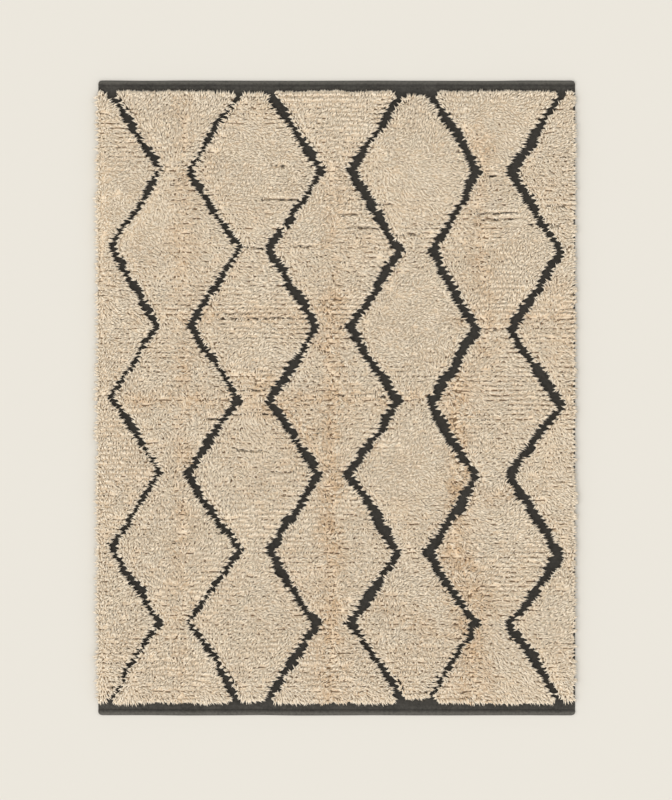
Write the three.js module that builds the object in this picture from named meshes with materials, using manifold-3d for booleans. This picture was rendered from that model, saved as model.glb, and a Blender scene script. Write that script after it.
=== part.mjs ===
// A kilim rug with shag pile, lying flat: one charcoal flatwoven ground cloth with a rolled hem at each end,
// and seven fields of cream shag knotted on it. The ground left bare between the fields draws six zigzag
// lines, which make a lattice of diamonds. Millimetres: X runs across the rug, Y along it and Z up from the
// floor.
import * as THREE from "three";
import { mergeVertices } from "three/addons/utils/BufferGeometryUtils.js";
import Module from "manifold-3d";

// The ground cloth
const RUG_WIDTH = 1500;
const RUG_LENGTH = 2000;
const CLOTH_THICKNESS = 3;
const CORNER_RADIUS = 12;
const CORNER_STEPS = 5;
const HEM_WAVER = 2.5;
const HEM_STEPS = 30;
const STEPS_PER_HIGH_POINT = 5;
const CORNER_CUTTER_HEIGHT = 30;

// The rolled hem in section, from the underside of the rug's end round to the flat cloth: how far in from the
// end of the rug, and how high
const HEM_SECTION = [
  { inset: 1.6, height: 0 },
  { inset: 0.2, height: 1.8 },
  { inset: 0, height: 4.2 },
  { inset: 2.4, height: 6.6 },
  { inset: 6.5, height: 7.5 },
  { inset: 11, height: 6.8 },
  { inset: 14.5, height: 4.6 },
  { inset: 16.5, height: 2.2 },
  { inset: 20, height: CLOTH_THICKNESS },
];

// The shag pile
const PILE_WIDTH = 1508;
const PILE_HEIGHT = 17;
const PILE_LUMP = 2.8;
const RIM_WANDER = 3.5;
const REST_GAP = 0.3;
const SLOPE_AT_END = 15;
const HEIGHT_AT_END = 0.55;
const CROWN_POINTS = 4;
const FULL_SIDE_WIDTH = 36;
const ROWS_PER_TURN = 5;

// The side of a field in section: how far in from its rim, and how high as a share of the pile's height
const RIM_SECTION = [
  { inset: 8, rise: 0 },
  { inset: 0, rise: 0.42 },
  { inset: 9, rise: 0.88 },
];

// Where the zigzag lines turn, from the far end of the rug to the near end: how far along the rug at its left
// edge and at its right edge, and how far across on each of the six lines
const TURNS = [
  { left: 955, right: 955, across: [-709, -308, -209, 205, 300, 714] },
  { left: 719, right: 711, across: [-553, -461, -53, 39, 438, 548] },
  { left: 479, right: 461, across: [-710, -304, -216, 196, 300, 703] },
  { left: 230, right: 208, across: [-562, -458, -65, 42, 438, 548] },
  { left: 1, right: -24, across: [-710, -311, -216, 193, 294, 706] },
  { left: -236, right: -250, across: [-559, -471, -59, 36, 435, 542] },
  { left: -476, right: -495, across: [-710, -311, -213, 193, 290, 700] },
  { left: -709, right: -711, across: [-556, -468, -59, 36, 438, 539] },
  { left: -955, right: -955, across: [-713, -307, -213, 202, 284, 695] },
];

// How wide the bare cloth is on each line, measured across the rug between the rims of the fields
const BARE_WIDTHS = [30, 33, 36, 37, 38, 40];

// The locks that stand out from the rims: their shape, how far in their roots are, how far they droop, and
// how uneven their places, heights, headings and reaches are
const LOCK_RADIUS = 6.5;
const LOCK_SIDES = 3;
const LOCK_FLATNESS = 0.7;
const LOCK_ROOT = 7;
const LOCK_DROOP = 3.5;
const UNEVEN_PLACE = 0.3;
const UNEVEN_HEIGHT = 1.5;
const UNEVEN_HEADING = 0.5;
const UNEVEN_REACH = 0.15;
const SIDE_LOCK = { reach: 14, spacing: 82 };
const END_LOCK = { reach: 13, spacing: 56 };
const LINE_LOCK = { reach: 11, spacing: 142 };

// The whole numbers that keys are mixed with to make them look random, and how close points are to be joined
const MIX_START = 2166136261;
const MIX_KEY_OFFSET = 1013;
const MIX_KEY_FACTOR = 16777619;
const MIX_LAST_FACTOR = 2246822519;
const MIX_LARGEST = 4294967295;
const JOINING_DISTANCE = 1e-4;

const GROUND_COLOUR = 0x504d46;
const PILE_COLOUR = 0xd5c3ab;

const LINE_COUNT = BARE_WIDTHS.length;
const LAST_TURN = TURNS.length - 1;
const PILE_FOOT = CLOTH_THICKNESS + REST_GAP;

const wasm = await Module();
wasm.setup();

// A number from -1 to 1 that looks random and is always the same for the same whole numbers
function waver(...keys) {
  let mixed = MIX_START;
  for (const key of keys) {
    mixed = Math.imul(mixed ^ (key + MIX_KEY_OFFSET), MIX_KEY_FACTOR);
    mixed ^= mixed >>> 13;
  }
  mixed = Math.imul(mixed ^ (mixed >>> 15), MIX_LAST_FACTOR);
  mixed ^= mixed >>> 16;
  return ((mixed >>> 0) / MIX_LARGEST) * 2 - 1;
}

// A closed geometry with its faces joined at their corners, ready to be placed and made a solid
function joined(geometry) {
  geometry.deleteAttribute("normal");
  geometry.deleteAttribute("uv");
  return mergeVertices(geometry, JOINING_DISTANCE);
}

function solidOf(geometry) {
  const mesh = new wasm.Mesh({
    numProp: 3,
    vertProperties: new Float32Array(geometry.attributes.position.array),
    triVerts: new Uint32Array(geometry.index.array),
  });
  return new wasm.Manifold(mesh);
}

function geometryOf(solid) {
  const mesh = solid.getMesh();
  const geometry = new THREE.BufferGeometry();
  geometry.setAttribute("position", new THREE.BufferAttribute(mesh.vertProperties, 3));
  geometry.setIndex(new THREE.BufferAttribute(mesh.triVerts, 1));
  geometry.computeVertexNormals();
  return geometry;
}

function roundedRectangle(width, length, radius) {
  const right = width / 2;
  const top = length / 2;
  const shape = new THREE.Shape();
  shape.moveTo(right - radius, top);
  shape.absarc(-right + radius, top - radius, radius, Math.PI / 2, Math.PI, false);
  shape.absarc(-right + radius, -top + radius, radius, Math.PI, Math.PI * 1.5, false);
  shape.absarc(right - radius, -top + radius, radius, -Math.PI / 2, 0, false);
  shape.absarc(right - radius, top - radius, radius, 0, Math.PI / 2, false);
  return shape;
}

// The ground cloth: its section along the rug, hems and all, drawn out across the rug's width. The hems'
// outer edges waver a little, and the corners are rounded.
function groundCloth() {
  const section = new THREE.Shape();
  const end = RUG_LENGTH / 2;
  const farHem = HEM_SECTION.map((point) => new THREE.Vector2(end - point.inset, point.height));
  const nearHem = HEM_SECTION.map((point) => new THREE.Vector2(-end + point.inset, point.height)).reverse();
  section.setFromPoints([...farHem, ...nearHem]);
  const drawn = joined(
    new THREE.ExtrudeGeometry(section, {
      depth: RUG_WIDTH,
      steps: HEM_STEPS,
      bevelEnabled: false,
    }),
  );
  drawn.translate(0, 0, -RUG_WIDTH / 2);
  const alongToUp = new THREE.Matrix4().makeBasis(
    new THREE.Vector3(0, 1, 0),
    new THREE.Vector3(0, 0, 1),
    new THREE.Vector3(1, 0, 0),
  );
  drawn.applyMatrix4(alongToUp);
  const position = drawn.getAttribute("position");
  for (let i = 0; i < position.count; i++) {
    const step = Math.round((position.getX(i) / RUG_WIDTH + 0.5) * HEM_STEPS);
    const side = Math.sign(position.getY(i));
    const atHighPoint = step % STEPS_PER_HIGH_POINT === 0;
    const pulledIn = atHighPoint ? 0 : (HEM_WAVER * (1 + waver(step, side))) / 2;
    position.setY(i, position.getY(i) - side * pulledIn);
  }
  const outline = roundedRectangle(RUG_WIDTH, RUG_LENGTH, CORNER_RADIUS);
  const plate = joined(
    new THREE.ExtrudeGeometry(outline, {
      depth: CORNER_CUTTER_HEIGHT,
      curveSegments: CORNER_STEPS,
      bevelEnabled: false,
    }),
  );
  plate.translate(0, 0, -CORNER_CUTTER_HEIGHT / 2);
  return geometryOf(solidOf(drawn).intersect(solidOf(plate)));
}

// How far across the rug a line is at a number of turns from the far end. Lines 0 and 7 are the outer sides
// of the pile, and 1 to 6 are the zigzag lines.
function across(line, turns) {
  if (line === 0) return -PILE_WIDTH / 2;
  if (line > LINE_COUNT) return PILE_WIDTH / 2;
  const before = Math.min(Math.floor(turns), LAST_TURN - 1);
  return THREE.MathUtils.lerp(
    TURNS[before].across[line - 1],
    TURNS[before + 1].across[line - 1],
    turns - before,
  );
}

// How far along the rug a place is, from how far across it is and its number of turns from the far end
function along(x, turns) {
  const before = Math.min(Math.floor(turns), LAST_TURN - 1);
  const share = x / RUG_WIDTH + 0.5;
  const startY = THREE.MathUtils.lerp(TURNS[before].left, TURNS[before].right, share);
  const stopY = THREE.MathUtils.lerp(TURNS[before + 1].left, TURNS[before + 1].right, share);
  return THREE.MathUtils.lerp(startY, stopY, turns - before);
}

function isOuterSide(line) {
  return line === 0 || line > LINE_COUNT;
}

// The rows of points along a field: how many turns from the far end, and the share of the pile's height
function fieldRows() {
  const rows = [{ turns: 0, height: HEIGHT_AT_END }];
  const slope = SLOPE_AT_END / (TURNS[0].left - TURNS[1].left);
  rows.push({ turns: slope, height: 1 });
  for (let row = 1; row < LAST_TURN * ROWS_PER_TURN; row++) {
    rows.push({ turns: row / ROWS_PER_TURN, height: 1 });
  }
  rows.push({ turns: LAST_TURN - slope, height: 1 });
  rows.push({ turns: LAST_TURN, height: HEIGHT_AT_END });
  return rows;
}

const ROWS = fieldRows();

// Where a field's left or right rim is on a row. The outer sides of the pile wander inwards only, and both
// are alike.
function rimPoint(field, side, rowIndex) {
  const line = side < 0 ? field : field + 1;
  const { turns } = ROWS[rowIndex];
  const middle = across(line, turns);
  const setBack = isOuterSide(line)
    ? RIM_WANDER * Math.abs(waver(0, 0, rowIndex))
    : BARE_WIDTHS[line - 1] / 2 + RIM_WANDER * waver(line, side, rowIndex);
  return new THREE.Vector2(middle - side * setBack, along(middle, turns));
}

// One section of a field from its left foot over the crown to its right foot
function fieldSection(field, rowIndex) {
  const { height } = ROWS[rowIndex];
  const left = rimPoint(field, -1, rowIndex);
  const right = rimPoint(field, 1, rowIndex);
  const rise = PILE_HEIGHT * height;
  const place = (x, z) => {
    const share = (x - left.x) / (right.x - left.x);
    return new THREE.Vector3(x, THREE.MathUtils.lerp(left.y, right.y, share), PILE_FOOT + z);
  };
  const squeeze = Math.min(1, (right.x - left.x) / FULL_SIDE_WIDTH);
  const leftSide = RIM_SECTION.map((point) => place(left.x + point.inset * squeeze, point.rise * rise));
  const rightSide = RIM_SECTION.map((point) => place(right.x - point.inset * squeeze, point.rise * rise));
  rightSide.reverse();
  const crownStart = leftSide.at(-1).x;
  const crownStop = rightSide[0].x;
  const crown = [];
  for (let i = 1; i <= CROWN_POINTS; i++) {
    const x = THREE.MathUtils.lerp(crownStart, crownStop, i / (CROWN_POINTS + 1));
    crown.push(place(x, rise + height * PILE_LUMP * waver(field, rowIndex, i)));
  }
  return [...leftSide, ...crown, ...rightSide];
}

// A closed skin over a row of sections that have the same number of points
function loft(sections) {
  const count = sections[0].length;
  const positions = sections.flat().flatMap((point) => [point.x, point.y, point.z]);
  const triangles = [];
  for (let row = 0; row < sections.length - 1; row++) {
    for (let i = 0; i < count; i++) {
      const here = row * count + i;
      const beside = row * count + ((i + 1) % count);
      triangles.push(here, here + count, beside);
      triangles.push(beside, here + count, beside + count);
    }
  }
  const cap = (section) => section.map((point) => new THREE.Vector2(point.x, point.z));
  const last = (sections.length - 1) * count;
  for (const [a, b, c] of THREE.ShapeUtils.triangulateShape(cap(sections[0]), [])) {
    triangles.push(a, c, b);
  }
  for (const [a, b, c] of THREE.ShapeUtils.triangulateShape(cap(sections.at(-1)), [])) {
    triangles.push(last + a, last + b, last + c);
  }
  const geometry = new THREE.BufferGeometry();
  geometry.setAttribute("position", new THREE.Float32BufferAttribute(positions, 3));
  geometry.setIndex(triangles);
  return geometry;
}

// A lock of yarn as a three-sided taper, its root inside the pile and its tip outside
function lock(root, heading, reach) {
  const length = reach + LOCK_ROOT;
  const cone = joined(new THREE.ConeGeometry(LOCK_RADIUS, length, LOCK_SIDES));
  cone.translate(0, length / 2 - LOCK_ROOT, 0);
  cone.scale(1, 1, LOCK_FLATNESS);
  const out = new THREE.Vector3(Math.cos(heading), Math.sin(heading), -LOCK_DROOP / reach).normalize();
  const sideways = new THREE.Vector3(Math.sin(heading), -Math.cos(heading), 0);
  const up = new THREE.Vector3().crossVectors(sideways, out);
  const turn = new THREE.Matrix4().makeBasis(sideways, out, up);
  cone.applyMatrix4(turn.setPosition(root));
  return solidOf(cone);
}

// Locks at nearly even steps along one rim, which faces outward by the given angle. The key tells one rim
// from another.
function locksAlong(points, outward, kind, key) {
  const path = new THREE.CurvePath();
  for (let i = 0; i < points.length - 1; i++) {
    path.add(new THREE.LineCurve(points[i], points[i + 1]));
  }
  const count = Math.floor(path.getLength() / kind.spacing);
  const rimHeight = PILE_FOOT + PILE_HEIGHT * RIM_SECTION[1].rise;
  const locks = [];
  for (let i = 0; i < count; i++) {
    const at = path.getPointAt((i + 0.5 + UNEVEN_PLACE * waver(key, i, 1)) / count);
    const root = new THREE.Vector3(at.x, at.y, rimHeight + UNEVEN_HEIGHT * waver(key, i, 2));
    const heading = outward + UNEVEN_HEADING * waver(key, i, 3);
    const reach = kind.reach * (1 - UNEVEN_REACH * Math.abs(waver(key, i, 4)));
    locks.push(lock(root, heading, reach));
  }
  return locks;
}

// The locks on all four rims of a field
function fieldLocks(field) {
  const locks = [];
  for (const side of [-1, 1]) {
    const line = side < 0 ? field : field + 1;
    const rim = ROWS.map((_, rowIndex) => rimPoint(field, side, rowIndex));
    const outward = side < 0 ? Math.PI : 0;
    if (isOuterSide(line)) {
      locks.push(...locksAlong(rim, outward, SIDE_LOCK, 0));
    } else {
      locks.push(...locksAlong(rim, outward, LINE_LOCK, 2 * line + side));
    }
  }
  const lastRow = ROWS.length - 1;
  for (const [rowIndex, outward] of [[0, Math.PI / 2], [lastRow, -Math.PI / 2]]) {
    const rim = [rimPoint(field, -1, rowIndex), rimPoint(field, 1, rowIndex)];
    locks.push(...locksAlong(rim, outward, END_LOCK, 100 * (field + 1) + rowIndex));
  }
  return locks;
}

// One field of shag: a lumpy slab between two lines, with locks fused to its rims
function pileField(field) {
  const sections = ROWS.map((_, rowIndex) => fieldSection(field, rowIndex));
  const slab = solidOf(loft(sections));
  return geometryOf(fieldLocks(field).reduce((solid, piece) => solid.add(piece), slab));
}

const groundWool = new THREE.MeshStandardMaterial({ color: GROUND_COLOUR, roughness: 0.95, metalness: 0 });
const pileWool = new THREE.MeshStandardMaterial({ color: PILE_COLOUR, roughness: 0.9, metalness: 0 });

const rug = new THREE.Group();
const ground = new THREE.Mesh(groundCloth(), groundWool);
ground.name = "ground";
rug.add(ground);

for (let field = 0; field <= LINE_COUNT; field++) {
  const pile = new THREE.Mesh(pileField(field), pileWool.clone());
  pile.name = `pile_${field + 1}`;
  rug.add(pile);
}

export default rug;
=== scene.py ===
"""A kilim rug with cream shag pile in a diamond lattice, laid flat on a pale floor and seen from above."""
import math
import bpy
import numpy as np
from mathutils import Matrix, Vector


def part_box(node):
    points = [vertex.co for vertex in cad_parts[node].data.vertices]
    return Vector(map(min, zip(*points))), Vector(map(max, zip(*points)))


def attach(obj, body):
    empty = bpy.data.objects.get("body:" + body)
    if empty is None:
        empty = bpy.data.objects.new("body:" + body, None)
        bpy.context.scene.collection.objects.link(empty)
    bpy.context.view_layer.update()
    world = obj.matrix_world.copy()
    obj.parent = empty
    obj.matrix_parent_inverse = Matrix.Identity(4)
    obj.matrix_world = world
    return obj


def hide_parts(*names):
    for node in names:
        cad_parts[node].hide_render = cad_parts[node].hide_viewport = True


bl_info = {
    "name": "Kilim rug with shag pile",
    "version": (1, 0, 0),
    "blender": (4, 5, 0),
    "location": "3D View > Sidebar > Rug",
    "description": "Weaves the ground cloth, knots the shag and sets the stage",
    "category": "Object",
}

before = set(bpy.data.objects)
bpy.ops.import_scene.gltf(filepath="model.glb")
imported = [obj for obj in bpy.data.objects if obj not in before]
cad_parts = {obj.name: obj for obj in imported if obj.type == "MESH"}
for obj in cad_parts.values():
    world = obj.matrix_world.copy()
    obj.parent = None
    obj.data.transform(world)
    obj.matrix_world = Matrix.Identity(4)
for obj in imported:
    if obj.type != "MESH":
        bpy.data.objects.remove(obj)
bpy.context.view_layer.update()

MM = 0.001
RUG_LOW, RUG_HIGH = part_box("ground")
RUG_WIDTH = RUG_HIGH[0] - RUG_LOW[0]
RUG_LENGTH = RUG_HIGH[1] - RUG_LOW[1]
HEM_HEIGHT = RUG_HIGH[2]
PILE_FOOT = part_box("pile_1")[0][2]
FIELD_COUNT = 7

# The cloth's grid: how many columns and rows of faces it has, how much of the rug's length it keeps for each
# hem, and what share of the rows is outside the hems
CLOTH_COLUMNS = 90
CLOTH_ROWS = 120
HEM_ZONE = 22 * MM
BODY_ROWS = 0.8

# How much wider the hem at the near end is, how high a hem's lip is, how deep the groove along it is and how
# far in from it, how much thicker the selvedge is, and how thin the cloth may be
NEAR_HEM = 3 * MM
HEM_LIP = 1.2 * MM
GROOVE_DEPTH = 0.9 * MM
GROOVE_OFF = 1 * MM
SELVEDGE_SWELL = 1.6 * MM
THINNEST_CLOTH = 0.8 * MM

# Where the zigzag lines turn along the rug, at its left edge and at its right edge, in millimetres
TURNS_ALONG = (
    (955, 955), (719, 711), (479, 461), (230, 208), (1, -24),
    (-236, -250), (-476, -495), (-709, -711), (-955, -955),
)

# For each zigzag line from left to right, in millimetres: where it turns across the rug, from the far end to
# the near end, how wide it shows at its far end, between those turns and at its near end, and how far it bows
# to the right between them
LINES = (
    {
        "across": (-709, -553, -710, -562, -710, -559, -710, -556, -713),
        "shows": (26, 25, 13, 24, 14, 27, 18, 27, 10, 12),
        "bows": (-5, 4, -2, 0, 6, -2, 0, -12),
    },
    {
        "across": (-308, -461, -304, -458, -311, -471, -311, -468, -313),
        "shows": (12, 22, 23, 23, 21, 25, 25, 14, 24, 20),
        "bows": (-2, -13, -5, 4, -1, -4, 7, 13),
    },
    {
        "across": (-213, -53, -216, -65, -216, -59, -213, -59, -216),
        "shows": (30, 27, 23, 31, 27, 28, 31, 21, 28, 26),
        "bows": (4, 11, 1, 6, 8, 0, -7, -6),
    },
    {
        "across": (205, 39, 196, 42, 193, 36, 193, 36, 202),
        "shows": (20, 23, 29, 28, 28, 25, 34, 34, 19, 16),
        "bows": (4, 1, 7, 0, 2, 5, 1, 14),
    },
    {
        "across": (290, 438, 300, 438, 294, 435, 290, 438, 290),
        "shows": (26, 31, 25, 28, 31, 36, 31, 32, 18, 14),
        "bows": (8, 8, -5, 0, -11, 5, -6, -4),
    },
    {
        "across": (704, 548, 703, 548, 706, 542, 700, 539, 695),
        "shows": (12, 34, 32, 28, 29, 28, 41, 31, 28, 16),
        "bows": (2, -6, 4, -2, -5, 6, 11, 12),
    },
)

# How much a line bulges and narrows, as a share of how wide it shows
LINE_BULGE = 0.38

# Where two rows of knots part so far that the pile is as dark as the ground there, in millimetres: along the
# rug, and across from and to
PARTINGS = (
    (730, -216, -163), (623, -251, -116), (611, 104, 173), (603, 655, 718), (573, 10, 60),
    (545, 600, 700), (535, 40, 136), (513, 183, 262), (478, -147, -68), (472, -304, -210),
    (249, -374, -140), (262, -374, -267), (223, 4, 48), (214, 445, 552), (25, -298, -216),
    (6, -5, 168), (-38, -140, -37), (-50, -330, -210), (-66, -408, -367), (-164, -320, -216),
    (-233, -194, -131), (698, 470, 500), (580, 440, 570), (560, 450, 590),
)

# Where the rug was folded, in millimetres: from and to, each across and along it, and how wide the fold is. The
# last number says how deep it is, as a share. The pile there is rumpled, and painted shade browns it
FOLDS = (
    ((-480, 950), (-490, -950), 34, 0.45),
    ((-21, 300), (-21, -950), 42, 0.9),
    ((-10, 700), (-21, 300), 30, 0.4),
    ((378, 130), (372, -500), 34, 1.0),
    ((400, -500), (440, -950), 60, 0.8),
    ((440, 800), (470, 150), 45, 0.5),
    ((-640, 262), (-100, 255), 26, 0.45),
    ((360, 240), (740, 250), 26, 0.55),
    ((-640, -10), (360, 0), 26, 0.6),
    ((-240, 30), (-60, -180), 60, 0.6),
    ((380, -330), (560, -300), 30, 0.5),
    ((100, -640), (380, -760), 40, 0.4),
    ((690, 320), (705, 130), 50, 0.3),
)

# How far to the right the rooted pile's outer rims are from the edges of the cloth
RIM_SHIFT = {-1: 0.5 * MM, 1: -6.5 * MM}

# Where the pile lies so evenly that its rows hardly show, in millimetres: across, along and how far around
CALM = (
    (-257, 717, 130), (246, 717, 140), (238, 245, 140), (246, -227, 120), (-60, 560, 90), (500, 870, 120),
    (-690, 580, 170),
)

# How far along the rug the rooted pile reaches, how much further towards its far end, how uneven the locks of
# each end are, where the pile falls short, in millimetres, as which end, across from and to, and by how much,
# and over what distance it eases into that
PILE_REACH = 953 * MM
FAR_REACH = 5 * MM
END_TUFTS = {-1: 0.28, 1: 0.13}
SHORT_ENDS = (
    (1, 172, 325, 18), (1, -400, -198, 9), (-1, 180, 325, 18), (-1, -360, -205, 9), (-1, -750, -695, 10),
    (-1, 700, 750, 8),
)
SHORT_EASE = 12 * MM

# How wide a parting is from its middle to its rim, and how wide that rim is
PARTING_REACH = 5 * MM
PARTING_RIM = 3.2 * MM

# How far the crease of a fold sways to its sides, and how far from it the pile is pushed over
CREASE_SWAY = 17 * MM
FOLD_SPREAD = 24 * MM

# The seed of the first field's locks, with one more for each further field
FIELD_SEED = 100

# How many lanes of locks a row of knots holds, how far in from the rooted edges they start, how unevenly the
# rows end, and how many locks a row ends in at a side rim
LANES = 3
LANE_INSET = 3 * MM
ROW_STRAY = 2.2 * MM
SIDE_LOCKS = 7

# The locks that a row ends in: from and to what share of the full length, how much longer they are at the
# rug's left edge, how far a row's end turns, and how much further in its outer locks stand, in millimetres
SIDE_REACH = (0.58, 0.82)
LEFT_EXTRA = 0.12
SIDE_TURN = 0.3
ROW_ROUNDING = 5

# The locks along the ends of the rug: from one to the next, how far they turn, and their share of the length
END_SPACING = 1.2 * MM
END_TURN = 0.5
END_REACH = 0.53

# How far the gaps between rows sway along the rug, how often across it, how this shifts from one row to the
# next, how long a gap stays open, and how high from -1 to 1 its noise must be to open it
GAP_SWAY = 1.2 * MM
SWAY_TURNS = 95.0
SWAY_STEP = 2.4
DASH_LENGTH = 13 * MM
DASH_LEVEL = 0.62

# How the pile leans across and along the rug: everywhere, by its broad swells, and by its fine ones. How much
# a fold rumples it, and how much one lock strays from the next
LEANS = {"across": (0.4, 0.4, 0.4), "along": (0.2, 0.6, 0.35)}
RUMPLE = 1.5
LEAN_STRAY = 0.15

# What pushes the locks over: how strongly, and how far away that has faded to about a third, in metres. Folds
# have their own spread
PUSHES = {
    "line": (1.1, 0.012),
    "end": (1.3, 0.03),
    "parting": (0.8, 0.006),
    "row gap": (1.4, 0.008),
}
FOLD_PUSH = 0.9

# How far down a lock lies where nothing pushes it, and how hard a push would lay it flat from upright
REST_DOWN = 0.34
FULL_PUSH = 1.5

# How many of the locks at the rims go astray, how much longer those are, and how thin the others there are
ASTRAY_SHARE = 0.05
ASTRAY_LENGTH = 1.3
RIM_THICKNESS = 0.92

# How ivory the locks are, and how much tan they take, each as shares of 1
IVORY = {"all": 0.42, "patches": 0.25, "at rims": 0.35, "stray": 0.12}
# The tan is partly browner yarn and partly painted shade in the folds, between rows and beside open gaps
TAN_AND_SHADE = {
    "all": 0.05, "folds": 0.65, "folds, swells": 0.6, "patches": 0.12, "fades at rims": 0.6,
    "between rows": 0.5, "in gaps": 0.35, "stray": 0.07, "stray in folds": 0.3,
}

# How far from upright a lock leaves its root and ends, in degrees: standing, how much more when it lies down,
# and how much one strays from the next
ROOT_TILT = (8, 26, 5)
TIP_TILT = (40, 42, 8)

# A lock is a bent spindle: how far along it is thickest and bends, how many sides it has there, how high its
# root is above the foot of the pile, and how low it may reach
LOCK_BEND = 0.5
SIDES = 3
LOCK_VERTICES = SIDES + 2
ROOT_HEIGHT = 2.5 * MM
LOWEST_LOCK = 0.4 * MM

# The mat under the locks: how many columns and rows of faces it has, how high it is and how much that varies,
# over what distance it rises at its rims, how far it is extruded down before that face is laid flat, how low
# it may be, where its mesh has rows beside each parting, in millimetres, and how far off the other rows stay
MAT_COLUMNS = 20
MAT_ROWS = 160
MAT_HEIGHT = 8.5 * MM
MAT_SWELL = 1.0 * MM
MAT_SHOULDER = 12 * MM
MAT_DROP = 20 * MM
LOWEST_MAT = 0.7 * MM
BESIDE_PARTING = (-5, -1.6, 1.6, 5)
CLEAR_OF_PARTING = 9 * MM

# What the fourth number of the yarn attribute says: it is the mat where a parting opens it, it is the mat
# elsewhere, or it is a lock
YARN_PARTED, YARN_MAT, YARN_LOCK = 0.0, 0.5, 1.0

# How high up the baked atlas the mat's share reaches, with the locks above it
ATLAS_FLOOR = 0.1

# The sockets of Blender's colour mix, which share their names with those of its other mixes
MIX_SHARE, MIX_FIRST, MIX_SECOND, MIX_RESULT = 0, 6, 7, 2

# The camera's sensor in millimetres, and the place on the rug at the middle of the photograph
SENSOR = 36
VIEW_MIDDLE = (-2.2 * MM, -6.3 * MM)

# How many cells the smooth noise repeats after, and how many of them keep the rug clear of its edge
NOISE_CELLS = 256
NOISE_SHIFT = 100.0

# The kinds of smooth noise: how wide the swells are in metres, and the seed
SWELLS = {
    "hem pull": (0.12, 3),
    "cloth": (0.05, 4),
    "hem roll": (0.02, 5),
    "parting": (0.025, 7),
    "fold depth": (0.04, 13),
    "lean across, broad": (0.14, 21),
    "lean across, fine": (0.026, 22),
    "lean along, broad": (0.14, 23),
    "lean along, fine": (0.026, 24),
    "rumple across": (0.016, 25),
    "rumple along": (0.016, 26),
    "mat": (0.02, 31),
    "ridge zones": (0.13, 33),
    "ridges": (0.03, 34),
    "dashes": (DASH_LENGTH, 35),
    "line bulge": (0.035, 40),
    "yarn": (0.05, 51),
    "brown in folds": (0.02, 52),
    "brown patches": (0.04, 53),
    "rim wander": (0.02, 60),
    "end reach": (0.05, 61),
    "line stray": (0.05, 62),
    "end turn": (0.012, 65),
    "end tufts": (0.009, 68),
    "fold width": (0.06, 90),
    "crease": (0.05, 110),
    "crease breaks": (0.018, 130),
}


class Channel:
    """A socket of a material's nodes that can be reckoned with as a number."""

    def __init__(self, sheet, socket):
        self.sheet = sheet
        self.socket = socket

    def _math(self, operation, *values):
        return self.sheet.node("ShaderNodeMath", {"operation": operation}, dict(enumerate(values)))

    def beside(self, output):
        """Another output of the same node."""
        return Channel(self.sheet, self.socket.node.outputs[output])

    def __add__(self, other):
        return self._math("ADD", self, other)

    def __sub__(self, other):
        return self._math("SUBTRACT", self, other)

    def __rsub__(self, other):
        return self._math("SUBTRACT", other, self)

    def __mul__(self, other):
        return self._math("MULTIPLY", self, other)

    def __truediv__(self, other):
        return self._math("DIVIDE", self, other)

    def sine(self):
        return self._math("SINE", self)

    def absolute(self):
        return self._math("ABSOLUTE", self)

    def rounded(self):
        return self._math("ROUND", self)

    def clamped(self):
        return self.sheet.node("ShaderNodeClamp", {}, {"Value": self})


class Finish:
    """A node material in the making."""

    def __init__(self, name):
        self.material = bpy.data.materials.new(name)
        self.material.use_nodes = True
        self.nodes = self.material.node_tree.nodes
        self.links = self.material.node_tree.links
        self.shader = self.nodes["Principled BSDF"]

    def node(self, kind, settings, values, output=0):
        made = self.nodes.new(kind)
        for name, value in settings.items():
            setattr(made, name, value)
        for name, value in values.items():
            self.feed(made.inputs[name], value)
        return Channel(self, made.outputs[output])

    def feed(self, socket, value):
        if isinstance(value, Channel):
            self.links.new(value.socket, socket)
        elif hasattr(value, "__len__") and len(value) == 3 and socket.type == "RGBA":
            socket.default_value = (*value, 1.0)
        else:
            socket.default_value = value

    def surface(self, colour, roughness, specular, sheen=0.0, sheen_roughness=0.5, normal=None):
        values = {
            "Base Color": colour, "Roughness": roughness, "Specular IOR Level": specular,
            "Sheen Weight": sheen, "Sheen Roughness": sheen_roughness,
        }
        if normal:
            values["Normal"] = normal
        for name, value in values.items():
            self.feed(self.shader.inputs[name], value)

    def place(self, scale=(1.0, 1.0, 1.0)):
        coordinates = self.node("ShaderNodeTexCoord", {}, {}, "Object")
        return self.node("ShaderNodeMapping", {}, {"Vector": coordinates, "Scale": scale})

    def noise(self, vector, scale, detail=2.0, roughness=0.5):
        values = {"Vector": vector, "Scale": scale, "Detail": detail, "Roughness": roughness}
        return self.node("ShaderNodeTexNoise", {"noise_dimensions": "3D"}, values, "Fac")

    def mix(self, share, first, second):
        settings = {"data_type": "RGBA", "blend_type": "MIX"}
        values = {MIX_SHARE: share, MIX_FIRST: first, MIX_SECOND: second}
        return self.node("ShaderNodeMix", settings, values, MIX_RESULT)

    def spread(self, value, low, high, to_low=0.0, to_high=1.0):
        values = {"Value": value, "From Min": low, "From Max": high, "To Min": to_low, "To Max": to_high}
        return self.node("ShaderNodeMapRange", {"clamp": True}, values)

    def bump(self, height, strength, distance):
        values = {"Height": height, "Strength": strength, "Distance": distance}
        return self.node("ShaderNodeBump", {}, values)


def linear(red, green, blue):
    """A colour given as screen values from 0 to 255, as the linear numbers that a shader takes."""
    shares = (red / 255, green / 255, blue / 255)
    return tuple(s / 12.92 if s <= 0.04045 else ((s + 0.055) / 1.055) ** 2.4 for s in shares)


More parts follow.
